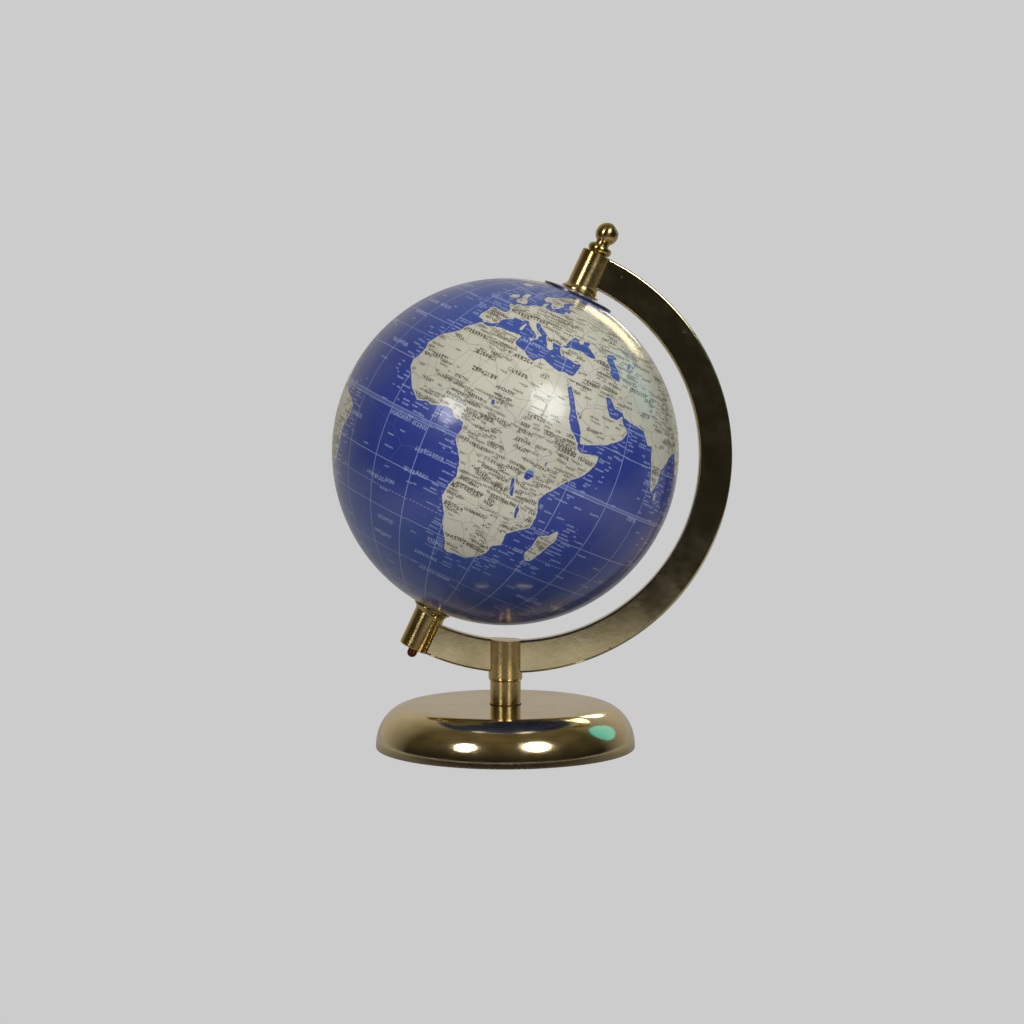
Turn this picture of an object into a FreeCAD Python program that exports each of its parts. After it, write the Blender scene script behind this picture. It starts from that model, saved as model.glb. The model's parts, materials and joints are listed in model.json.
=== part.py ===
import FreeCAD, Part
import math
import os

from FreeCAD import Vector

# Desktop globe on a brass stand.
# Frame: origin on the table under the middle of the base, +Z up, +X towards the side
# that the meridian arc stands on, so the globe's north pole leans towards +X.
# Lengths are millimetres and angles are degrees.

# ---- Globe ---------------------------------------------------------------------------
GLOBE_D = 127.0            # 5 inch ball, over the paper
AXIS_TILT = 25.0           # lean of the axis from upright
PAPER = 0.25               # printed map paper
BOARD = 1.8                # wall of the pressed board hemispheres
GORES = 12                 # paper gores to each hemisphere
GORE_SEAM = 0.05           # open seam between two gores, degrees
LAP_WIDTH = 17.0           # lap ring inside the equator, along the axis
LAP_WALL = 1.2

CAP_D = 26.5               # disc pasted over the north pole
CAP_THICK = 0.9

# ---- Axis rod and what turns on it ---------------------------------------------------
ROD_D = 3.6
ROD_TIP_OUT = 3.6          # rod end below the bottom boss
ROD_DOME = 1.5             # height of the rounded tip
ROD_INTO_FINIAL = 6.5      # thread above the top boss
RUNNING = 0.05             # radial clearance of a bush on the rod
BUSH_D = 9.0               # eyelet body through the pole
BUSH_RIM_D = 9.8           # eyelet rim outside the pole
BUSH_RIM = 0.45            # rim thickness at its middle
BUSH_DEPTH = 2.4           # eyelet body inside the ball's surface
WASHER_THICK = 0.5
WASHER_D = 9.6
END_FLOAT = 0.1            # play between a bush rim and its washer

# ---- Meridian arc and its bosses -----------------------------------------------------
BALL_TO_ARC = 4.3          # arc's inner radius over the ball's
ARC_WIDTH = 12.0           # radial width of the arc's bar
ARC_THICK = 5.8            # front to back
ARC_EDGE = 0.8             # rounding of its four long edges
ARC_OFFSET = 3.65          # arc's centre from the ball's, square to the axis
BOSS_D = 11.5
BOSS_EDGE = 0.35
BOSS_CORE = 1.2            # metal between the rod and the arc's end in the boss's slot
FLANGE_D = 14.2            # flared end that faces the ball
FLANGE_LIP = 0.5
FLANGE_FLARE = 2.5         # length of the hollow curve from the lip to the boss
FLANGE_HOLLOW = 0.3        # how far in the curve's middle lies, 0.5 being straight
FLANGE_GAP = 0.35          # clear of the ball at the flange's edge
POCKET_CLEAR = 0.3         # radial, washer pocket round the bush rim

# ---- Finial nut ----------------------------------------------------------------------
FINIAL_D = 8.4
BEAD_D = 8.85
BEAD_HEIGHT = 3.6
NECK_D = 5.2
FINIAL_RISE = 7.9          # middle of the finial's ball above the top boss

# ---- Stem ----------------------------------------------------------------------------
SLEEVE_D = 12.5
SLEEVE_EDGE = 1.1          # rounded lower end
SLEEVE_BELOW_ARC = 3.1     # solid end of the sleeve under the arc
POST_D = 11.3
POST_HEIGHT = 8.8

# ---- Base ----------------------------------------------------------------------------
BASE_D = 95.8
BASE_HEIGHT = 16.0
BASE_TOP_D = 70.0          # flat top, inside the rounded shoulder
BASE_WALL = 1.4
RIM_LIFT = 0.4             # metal rim stays off the table
RIM_BAND = 0.7             # straight part of the rim
FELT_THICK = 1.2
FELT_INSET = 0.6           # felt's edge inside the shell's wall
WEIGHT_THICK = 6.0
WEIGHT_CLEAR = 0.4
WEIGHT_BOSS_D = 20.0

# ---- Stem bolt, M4 -------------------------------------------------------------------
BOLT_D = 4.0
BOLT_CLEAR = 0.25          # radial, in the weight, shell and post
BOLT_INTO_ARC = 8.6        # thread above the arc's lower edge
BOLT_HEAD_AF = 7.0
BOLT_HEAD = 2.8
BOLT_WASHER_D = 9.0
BOLT_WASHER = 0.8
LOCK_WASHER_D = 7.6
LOCK_WASHER = 1.0
LOCK_WASHER_CUT = 0.8      # gap in the split lock washer
RECESS_CLEAR = 0.5         # round the washer in the weight's recess

# ---- Derived places ------------------------------------------------------------------
GLOBE_R = GLOBE_D / 2
BOARD_R = GLOBE_R - PAPER
TILT = math.radians(AXIS_TILT)
SIDE = Vector(math.cos(TILT), 0, -math.sin(TILT))   # square to the axis, towards the arc
ARC_IN_R = GLOBE_R + BALL_TO_ARC
ARC_OUT_R = ARC_IN_R + ARC_WIDTH
BOSS_END = ARC_OUT_R
SLEEVE_LOW = BASE_HEIGHT + POST_HEIGHT
ARC_LOW = SLEEVE_LOW + SLEEVE_BELOW_ARC             # arc's edge over the middle of the base
ARC_RISE = math.sqrt(ARC_OUT_R ** 2 - (SIDE.x * ARC_OFFSET) ** 2)
ARC_CENTRE = Vector(SIDE.x * ARC_OFFSET, 0, ARC_LOW + ARC_RISE)
CENTRE = ARC_CENTRE - SIDE * ARC_OFFSET
OVERSHOOT = 1.0            # a cutting tool runs this far past what it cuts


def on_axis(shape):
    """Carries a shape turned about Z at the origin on to the tilted globe axis."""
    leaning = shape.copy()
    lean = FreeCAD.Placement(CENTRE, FreeCAD.Rotation(Vector(0, 1, 0), AXIS_TILT))
    leaning.Placement = lean.multiply(shape.Placement)
    return leaning


def lathe(edges, sweep=360):
    """Turns a closed outline in the XZ plane about Z."""
    wire = Part.Wire(Part.__sortEdges__(edges))
    return Part.Face(wire).revolve(Vector(0, 0, 0), Vector(0, 0, 1), sweep)


def line(a, b):
    return Part.LineSegment(Vector(a[0], 0, a[1]), Vector(b[0], 0, b[1])).toShape()


def arc(a, middle, b):
    points = [Vector(p[0], 0, p[1]) for p in (a, middle, b)]
    return Part.Arc(*points).toShape()


def polyline(points):
    return [line(a, b) for a, b in zip(points, points[1:])]


def rod(diameter, low, high):
    return Part.makeCylinder(diameter / 2, high - low, Vector(0, 0, low))


def ring(outer, inner, low, high):
    return rod(outer, low, high).cut(rod(inner, low - OVERSHOOT, high + OVERSHOOT))


def ball(radius):
    return Part.makeSphere(radius)


def sagitta_height(radius, diameter):
    """Height over the centre where a sphere reaches this diameter round the axis."""
    return math.sqrt(radius ** 2 - (diameter / 2) ** 2)


# ---- Globe ---------------------------------------------------------------------------
def hemisphere(sign):
    """Pressed board half, with the hole for its pole eyelet."""
    half = Part.makeSphere(BOARD_R, Vector(0, 0, 0), Vector(0, 0, sign), 0, 90)
    hollow = half.cut(ball(BOARD_R - BOARD))
    return hollow.cut(rod(BUSH_D, -GLOBE_R, GLOBE_R))


def lap_ring():
    """Ring glued inside the equator, holding the two halves in line."""
    band = ball(BOARD_R - BOARD).cut(ball(BOARD_R - BOARD - LAP_WALL))
    return band.common(rod(GLOBE_D, -LAP_WIDTH / 2, LAP_WIDTH / 2))


def half_gore(sign):
    """One printed paper gore from the equator to the pole eyelet."""
    start = math.radians(GORE_SEAM / 2)

    def at(radius, angle):
        return (radius * math.cos(angle), sign * radius * math.sin(angle))

    outer_end = math.acos(BUSH_D / 2 / GLOBE_R)
    inner_end = math.acos(BUSH_D / 2 / BOARD_R)
    middle = (start + outer_end) / 2
    edges = [
        arc(at(GLOBE_R, start), at(GLOBE_R, middle), at(GLOBE_R, outer_end)),
        arc(at(BOARD_R, start), at(BOARD_R, middle), at(BOARD_R, inner_end)),
        line(at(GLOBE_R, start), at(BOARD_R, start)),
        line(at(GLOBE_R, outer_end), at(BOARD_R, inner_end)),
    ]
    return lathe(edges, 360 / GORES - GORE_SEAM)


def map_half(sign):
    """The twelve gores of one hemisphere, side by side."""
    gores = []
    for index in range(GORES):
        gore = half_gore(sign)
        gore.rotate(Vector(0, 0, 0), Vector(0, 0, 1), index * 360 / GORES)
        gores.append(gore)
    return Part.makeCompound(gores)


def pole_cap():
    """Thin domed disc over the gore points at the north pole."""
    dome = ball(GLOBE_R + CAP_THICK).cut(ball(GLOBE_R))
    return dome.common(ring(CAP_D, BUSH_D, 0, GLOBE_D))


def bush(sign, seat_radius):
    """Flanged eyelet through the pole, running on the rod."""
    top = seat_radius + BUSH_RIM
    rim = rod(BUSH_RIM_D, seat_radius - OVERSHOOT, top).cut(ball(seat_radius))
    body = rod(BUSH_D, GLOBE_R - BUSH_DEPTH, top)
    eyelet = body.fuse(rim).removeSplitter().cut(rod(ROD_D + 2 * RUNNING, 0, GLOBE_D))
    if sign < 0:
        eyelet.rotate(Vector(0, 0, 0), Vector(1, 0, 0), 180)
    return eyelet


# ---- Rod, washers, bosses and finial ---------------------------------------------------
def washer_low(seat_radius):
    return seat_radius + BUSH_RIM + END_FLOAT


def thrust_washer(sign, seat_radius):
    low = washer_low(seat_radius)
    washer = ring(WASHER_D, ROD_D, low, low + WASHER_THICK)
    if sign < 0:
        washer.rotate(Vector(0, 0, 0), Vector(1, 0, 0), 180)
    return washer


def boss(sign, seat_radius):
    """Turned boss with a flared end, hollowed to take the eyelet rim and washer."""
    edge = sagitta_height(seat_radius, FLANGE_D) + FLANGE_GAP
    lip = edge + FLANGE_LIP
    flare_end = lip + FLANGE_FLARE
    flange, body, bore = FLANGE_D / 2, BOSS_D / 2, ROD_D / 2
    bend = (body + (flange - body) * FLANGE_HOLLOW, lip + FLANGE_FLARE * FLANGE_HOLLOW)
    pocket = WASHER_D / 2 + POCKET_CLEAR
    pocket_top = washer_low(seat_radius) + WASHER_THICK
    edges = polyline([
        (body, flare_end), (body, BOSS_END - BOSS_EDGE), (body - BOSS_EDGE, BOSS_END),
        (bore, BOSS_END), (bore, pocket_top), (pocket, pocket_top), (pocket, edge),
        (flange, edge), (flange, lip),
    ])
    edges.append(arc((flange, lip), bend, (body, flare_end)))
    turned = lathe(edges)
    if sign < 0:
        turned.rotate(Vector(0, 0, 0), Vector(1, 0, 0), 180)
    return turned


def axis_rod():
    """Steel rod from its domed tip under the bottom boss up into the finial."""
    low = -BOSS_END - ROD_TIP_OUT
    high = BOSS_END + ROD_INTO_FINIAL
    radius = ROD_D / 2
    curve = (radius ** 2 + ROD_DOME ** 2) / (2 * ROD_DOME)
    half = math.asin(radius / curve) / 2
    middle = (curve * math.sin(half), low + curve * (1 - math.cos(half)))
    edges = polyline([(radius, low + ROD_DOME), (radius, high), (0, high), (0, low)])
    edges.append(arc((0, low), middle, (radius, low + ROD_DOME)))
    return lathe(edges)


def finial():
    """Turned nut: a full-round bead, a neck and a ball, with a blind thread."""
    half = BEAD_HEIGHT / 2
    low, high = BOSS_END, BOSS_END + BEAD_HEIGHT
    straight = BEAD_D / 2 - half
    edges = polyline([(0, high), (0, low), (straight, low)])
    edges.append(arc((straight, low), (BEAD_D / 2, low + half), (straight, high)))
    edges.append(line((straight, high), (0, high)))
    head = Part.makeSphere(FINIAL_D / 2, Vector(0, 0, BOSS_END + FINIAL_RISE))
    neck = rod(NECK_D, high - half, BOSS_END + FINIAL_RISE)
    nut = lathe(edges).fuse(neck).fuse(head).removeSplitter()
    return nut.cut(rod(ROD_D, BOSS_END - OVERSHOOT, BOSS_END + ROD_INTO_FINIAL))


# ---- Meridian arc ----------------------------------------------------------------------
def arc_section():
    """Rounded rectangle of the bar, at the arc's right-hand side."""
    start = Vector(ARC_CENTRE.x + ARC_IN_R, -ARC_THICK / 2, ARC_CENTRE.z)
    bar = Part.makeBox(ARC_WIDTH, ARC_THICK, 1, start)
    corners = [e for e in bar.Edges if abs(e.tangentAt(e.FirstParameter).z) > 0.5]
    rounded = bar.makeFillet(ARC_EDGE, corners)
    return min(rounded.Faces, key=lambda face: face.CenterOfMass.z)


def arc_bar():
    """The bar bent round its circle, each end stopping just short of the rod."""
    short = ARC_OFFSET - ROD_D / 2 - BOSS_CORE
    end = 90 + math.degrees(math.asin(short / (ARC_IN_R + ARC_WIDTH / 2)))
    section = arc_section()
    section.rotate(ARC_CENTRE, Vector(0, 1, 0), AXIS_TILT - end)
    return section.revolve(ARC_CENTRE, Vector(0, 1, 0), 2 * end)


def meridian_arc():
    """The arc, drilled from below for the stem bolt."""
    return arc_bar().cut(rod(BOLT_D, ARC_LOW - OVERSHOOT, ARC_LOW + BOLT_INTO_ARC))


def slotted_boss(sign, seat_radius, arc_solid):
    """The boss on the tilted axis, with a slot for the arc's end."""
    return on_axis(boss(sign, seat_radius)).cut(arc_solid)


# ---- Stem ------------------------------------------------------------------------------
def stem_sleeve(arc_solid):
    """Sleeve that the arc passes through, its top flush with the arc's inner edge."""
    outer = rod(SLEEVE_D, SLEEVE_LOW, ARC_LOW + 2 * ARC_WIDTH)
    foot = [e for e in outer.Edges
            if e.Curve.TypeId == "Part::GeomCircle" and abs(e.CenterOfMass.z - SLEEVE_LOW) < 0.01]
    outer = outer.makeFillet(SLEEVE_EDGE, foot)
    start = Vector(ARC_CENTRE.x, -SLEEVE_D, ARC_CENTRE.z)
    outer = outer.cut(Part.makeCylinder(ARC_IN_R, 2 * SLEEVE_D, start, Vector(0, 1, 0)))
    return outer.cut(arc_solid).cut(rod(BOLT_D, 0, ARC_LOW + BOLT_INTO_ARC))


def stem_post():
    return ring(POST_D, BOLT_D + 2 * BOLT_CLEAR, BASE_HEIGHT, SLEEVE_LOW)


# ---- Base ------------------------------------------------------------------------------
SHOULDER_LOW = RIM_LIFT + RIM_BAND
SHELL_IN_D = BASE_D - 2 * BASE_WALL
SHELL_IN_TOP = BASE_HEIGHT - BASE_WALL


def shoulder(wall):
    """Quarter ellipse of the spun shoulder, this far inside the outer face."""
    across = (BASE_D - BASE_TOP_D) / 2 - wall
    rise = BASE_HEIGHT - SHOULDER_LOW - wall
    return across, rise


def shoulder_edge(wall):
    across, rise = shoulder(wall)
    centre = Vector(BASE_TOP_D / 2, 0, SHOULDER_LOW)
    if across >= rise:
        major, minor = centre + Vector(across, 0, 0), centre + Vector(0, 0, rise)
    else:
        major, minor = centre + Vector(0, 0, rise), centre + Vector(across, 0, 0)
    full = Part.Ellipse(major, minor, centre)
    start = full.parameter(centre + Vector(across, 0, 0))
    end = full.parameter(centre + Vector(0, 0, rise))
    if abs(end - start) > math.pi:
        start, end = (start, end + 2 * math.pi) if start > end else (start + 2 * math.pi, end)
    return Part.Edge(full, min(start, end), max(start, end))


def inner_radius(height):
    """Inside radius of the shell at this height."""
    across, rise = shoulder(BASE_WALL)
    share = (height - SHOULDER_LOW) / rise
    return BASE_TOP_D / 2 + across * math.sqrt(1 - share ** 2)


def base_shell():
    """Spun brass-plated dish, open underneath."""
    hole = BOLT_D / 2 + BOLT_CLEAR
    edges = [shoulder_edge(0), shoulder_edge(BASE_WALL)]
    edges += polyline([
        (BASE_TOP_D / 2, BASE_HEIGHT), (hole, BASE_HEIGHT), (hole, SHELL_IN_TOP),
        (BASE_TOP_D / 2, SHELL_IN_TOP),
    ])
    edges += polyline([
        (SHELL_IN_D / 2, SHOULDER_LOW), (SHELL_IN_D / 2, RIM_LIFT), (BASE_D / 2, RIM_LIFT),
        (BASE_D / 2, SHOULDER_LOW),
    ])
    return lathe(edges)


WEIGHT_TOP = FELT_THICK + WEIGHT_THICK
RECESS_DEPTH = BOLT_WASHER + LOCK_WASHER + BOLT_HEAD + RECESS_CLEAR
RECESS_TOP = FELT_THICK + RECESS_DEPTH


def base_weight():
    """Cast ballast disc whose boss reaches the underside of the shell."""
    hole = BOLT_D / 2 + BOLT_CLEAR
    recess = BOLT_WASHER_D / 2 + RECESS_CLEAR
    rim = inner_radius(WEIGHT_TOP) - WEIGHT_CLEAR
    return lathe(polyline([
        (recess, FELT_THICK), (rim, FELT_THICK), (rim, WEIGHT_TOP),
        (WEIGHT_BOSS_D / 2, WEIGHT_TOP), (WEIGHT_BOSS_D / 2, SHELL_IN_TOP),
        (hole, SHELL_IN_TOP), (hole, RECESS_TOP), (recess, RECESS_TOP), (recess, FELT_THICK),
    ]))


def base_felt():
    return rod(SHELL_IN_D - 2 * FELT_INSET, 0, FELT_THICK)


# ---- Stem bolt ---------------------------------------------------------------------------
def bolt_washer():
    return ring(BOLT_WASHER_D, BOLT_D, RECESS_TOP - BOLT_WASHER, RECESS_TOP)


def lock_washer():
    """Split washer between the flat washer and the bolt head."""
    high = RECESS_TOP - BOLT_WASHER
    whole = ring(LOCK_WASHER_D, BOLT_D, high - LOCK_WASHER, high)
    cut = Part.makeBox(LOCK_WASHER_D, LOCK_WASHER_CUT, 2 * LOCK_WASHER,
                       Vector(0, -LOCK_WASHER_CUT / 2, high - 1.5 * LOCK_WASHER))
    return whole.cut(cut)


def stem_bolt():
    """Hexagon bolt from the weight's recess up into the arc."""
    head_top = RECESS_TOP - BOLT_WASHER - LOCK_WASHER
    corner = BOLT_HEAD_AF / math.sqrt(3)
    points = []
    for index in range(7):
        angle = math.radians(60 * index)
        points.append(Vector(corner * math.cos(angle), corner * math.sin(angle), head_top - BOLT_HEAD))
    head = Part.Face(Part.makePolygon(points)).extrude(Vector(0, 0, BOLT_HEAD))
    shank = rod(BOLT_D, head_top, ARC_LOW + BOLT_INTO_ARC)
    return head.fuse(shank).removeSplitter()


# ---- Assembly ------------------------------------------------------------------------------
NORTH, SOUTH = 1, -1
NORTH_SEAT = GLOBE_R + CAP_THICK   # sphere that the north eyelet's rim sits on
SOUTH_SEAT = GLOBE_R


def build():
    arc_solid = meridian_arc()
    leaning = {
        "north_hemisphere": hemisphere(NORTH),
        "south_hemisphere": hemisphere(SOUTH),
        "equator_lap_ring": lap_ring(),
        "map_north": map_half(NORTH),
        "map_south": map_half(SOUTH),
        "north_pole_cap": pole_cap(),
        "north_bush": bush(NORTH, NORTH_SEAT),
        "south_bush": bush(SOUTH, SOUTH_SEAT),
        "north_washer": thrust_washer(NORTH, NORTH_SEAT),
        "south_washer": thrust_washer(SOUTH, SOUTH_SEAT),
        "axis_rod": axis_rod(),
        "finial": finial(),
    }
    placed = {
        "meridian_arc": arc_solid,
        "top_boss": slotted_boss(NORTH, NORTH_SEAT, arc_solid),
        "bottom_boss": slotted_boss(SOUTH, SOUTH_SEAT, arc_solid),
        "stem_sleeve": stem_sleeve(arc_solid),
        "stem_post": stem_post(),
        "base_shell": base_shell(),
        "base_weight": base_weight(),
        "base_felt": base_felt(),
        "stem_bolt": stem_bolt(),
        "bolt_washer": bolt_washer(),
        "lock_washer": lock_washer(),
    }
    nodes = {name: on_axis(shape) for name, shape in leaning.items()}
    nodes.update(placed)
    return nodes


def main():
    os.makedirs("parts", exist_ok=True)
    print(f"globe axis through {CENTRE}, leaning {AXIS_TILT} degrees towards +X")
    for name, shape in sorted(build().items()):
        shape.exportStep(f"parts/{name}.step")
        box = shape.optimalBoundingBox()
        print(f"{name:18s} solids {len(shape.Solids):2d}  valid {shape.isValid()}  "
              f"volume {shape.Volume / 1000:8.3f} cm3  z {box.ZMin:7.2f} to {box.ZMax:7.2f}")


main()
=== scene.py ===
# %% [markdown]
# # A desktop globe on a brass stand
# The design is already made: a ball on a tilted rod, a C-shaped arc, a stem and a spun base. This lesson
# dresses it. We load the design as a fixed frame, keep every size from it, and add what a camera sees: the
# printed paper, the varnish, the polished brass and the light.

# %% Load the frame
import json
import math
import random

import bmesh
import bpy
import numpy as np
from mathutils import Matrix, Vector


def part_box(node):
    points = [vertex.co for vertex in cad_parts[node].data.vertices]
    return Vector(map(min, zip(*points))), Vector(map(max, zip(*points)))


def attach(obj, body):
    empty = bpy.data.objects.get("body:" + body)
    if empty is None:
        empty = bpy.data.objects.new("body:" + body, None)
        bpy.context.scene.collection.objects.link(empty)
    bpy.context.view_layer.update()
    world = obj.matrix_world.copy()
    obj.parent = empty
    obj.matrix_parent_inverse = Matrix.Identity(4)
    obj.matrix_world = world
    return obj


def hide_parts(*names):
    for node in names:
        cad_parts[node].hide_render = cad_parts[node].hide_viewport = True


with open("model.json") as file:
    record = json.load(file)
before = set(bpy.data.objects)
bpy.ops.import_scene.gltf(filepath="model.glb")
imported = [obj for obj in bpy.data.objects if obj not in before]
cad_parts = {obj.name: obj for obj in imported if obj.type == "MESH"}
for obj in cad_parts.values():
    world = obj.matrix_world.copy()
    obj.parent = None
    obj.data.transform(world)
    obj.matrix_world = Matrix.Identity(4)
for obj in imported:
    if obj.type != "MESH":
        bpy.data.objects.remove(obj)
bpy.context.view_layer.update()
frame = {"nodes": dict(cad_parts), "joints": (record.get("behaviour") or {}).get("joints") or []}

MM = 0.001
nodes = frame["nodes"]

# %% [markdown]
# Nearly everything here is turned about one line, the rod through the poles. So the first thing to work out
# is that line: its middle is the joint's own point, and its direction is the joint's axis. Two more
# directions square to it, one to the side and one to the front, make up a frame that leans with the rod.

# %% The rod's line
spin = next(joint for joint in frame["joints"] if joint["name"] == "globe_spin")
CENTRE = Vector(spin["pos_m"])
AXIS = Vector(spin["axis"]).normalized()
SIDE = Vector((AXIS.z, 0.0, -AXIS.x))
FRONT = Vector((0.0, -1.0, 0.0))
TILT = math.atan2(AXIS.x, AXIS.z)


def along_rod(node):
    """Lowest and highest place along the rod, and least and greatest distance from it, in metres."""
    points = np.array([vertex.co for vertex in nodes[node].data.vertices]) - np.array(CENTRE)
    along = points @ np.array(AXIS)
    out = np.linalg.norm(points - np.outer(along, AXIS), axis=1)
    return [float(value) for value in (along.min(), along.max(), out.min(), out.max())]


BALL_R = along_rod("map_north")[3]
PAPER = BALL_R - along_rod("north_hemisphere")[3]
POLE_HOLE = along_rod("map_north")[2]
print("tilt", round(math.degrees(TILT), 2))
print("ball radius mm", round(BALL_R / MM, 2), "paper mm", round(PAPER / MM, 2))

# %% [markdown]
# Materials are built from many small sums, so a helper keeps them short. `Nodes` adds nodes to any node
# tree: `math` does arithmetic, `blend` mixes two colours, `noise` and `cells` make patterns. Each returns
# the socket that carries its answer, ready for the next step. `Mix` is the same for one material, with its
# shader at hand.


# %% Helpers for node trees
class Nodes:
    """A node tree, with short ways to add nodes to it."""

    def __init__(self, tree, coordinates):
        self.tree = tree
        self.place = self.add("ShaderNodeTexCoord").outputs[coordinates]

    def add(self, kind, inputs=(), **settings):
        node = self.tree.nodes.new(kind)
        for setting, value in settings.items():
            setattr(node, setting, value)
        for socket, value in dict(inputs).items():
            self.put(node.inputs[socket], value)
        return node

    def put(self, socket, value):
        if isinstance(value, bpy.types.NodeSocket):
            self.tree.links.new(value, socket)
        else:
            socket.default_value = value

    def math(self, operation, *values):
        return self.add("ShaderNodeMath", enumerate(values), operation=operation).outputs[0]

    def times(self, first, *others):
        for other in others:
            first = self.math("MULTIPLY", first, other)
        return first

    def most(self, first, *others):
        for other in others:
            first = self.math("MAXIMUM", first, other)
        return first

    def apart(self, first, second):
        """How far two numbers are from each other."""
        return self.math("ABSOLUTE", self.math("SUBTRACT", first, second))

    def length(self, x, y):
        return self.math("SQRT", self.math("ADD", self.times(x, x), self.times(y, y)))

    def ramp(self, value, low, high, start=0.0, end=1.0):
        """Goes smoothly from start to end as value goes from low to high."""
        inputs = {"Value": value, "From Min": low, "From Max": high, "To Min": start, "To Max": end}
        return self.add("ShaderNodeMapRange", inputs, interpolation_type="SMOOTHSTEP").outputs["Result"]

    def fade(self, value, low, low_colour, high, high_colour):
        """Goes evenly from one colour to another as value goes from low to high."""
        node = self.add("ShaderNodeValToRGB", {0: value})
        for stop, place, colour in zip(node.color_ramp.elements, (low, high), (low_colour, high_colour)):
            stop.position = place
            stop.color = colour
        return node.outputs[0]

    def blend(self, share, first, second, kind="MIX"):
        node = self.add("ShaderNodeMix", data_type="RGBA", blend_type=kind)
        for socket, value in zip((0, 6, 7), (share, first, second)):
            self.put(node.inputs[socket], value)
        return node.outputs[2]

    def noise(self, scale, detail=2.0, rough=0.5, at=None, out="Fac"):
        inputs = {"Vector": at or self.place, "Scale": scale, "Detail": detail, "Roughness": rough}
        return self.add("ShaderNodeTexNoise", inputs).outputs[out]

    def cells(self, at, feature="F1", spread=1.0, flat=True, scale=1.0):
        inputs = {"Vector": at, "Scale": scale, "Randomness": spread}
        settings = {"feature": feature, "voronoi_dimensions": "2D" if flat else "3D"}
        return self.add("ShaderNodeTexVoronoi", inputs, **settings).outputs

    def vector(self, operation, first, second):
        return self.add("ShaderNodeVectorMath", {0: first, 1: second}, operation=operation).outputs[0]

    def split(self, vector):
        return self.add("ShaderNodeSeparateXYZ", {0: vector}).outputs

    def join(self, x, y, z=0.0):
        return self.add("ShaderNodeCombineXYZ", {0: x, 1: y, 2: z}).outputs[0]

    def moved(self, vector=None, place=(0, 0, 0), turn=(0, 0, 0), scale=(1, 1, 1)):
        inputs = {0: vector or self.place, 1: place, 2: turn, 3: scale}
        return self.add("ShaderNodeMapping", inputs).outputs[0]


class Mix(Nodes):
    """One node material."""

    def __init__(self, name):
        self.material = bpy.data.materials.new(name)
        self.material.use_nodes = True
        super().__init__(self.material.node_tree, "Object")
        self.shader = self.tree.nodes["Principled BSDF"]

    def set(self, **values):
        """Sets the shader's own sockets; an underscore stands for a space."""
        for name, value in values.items():
            self.put(self.shader.inputs[name.replace("_", " ")], value)

    def bump(self, height, depth, strength=1.0, socket="Normal"):
        inputs = {"Height": height, "Distance": depth, "Strength": strength}
        self.put(self.shader.inputs[socket], self.add("ShaderNodeBump", inputs).outputs[0])


def linear(red, green, blue):
    """A colour as it is seen, 0 to 255, turned into the light values that shaders use."""
    parts = [value / 255 for value in (red, green, blue)]
    return [v / 12.92 if v <= 0.04045 else ((v + 0.055) / 1.055) ** 2.4 for v in parts] + [1.0]


print("champagne as light", [round(v, 3) for v in linear(200, 180, 130)])
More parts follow.
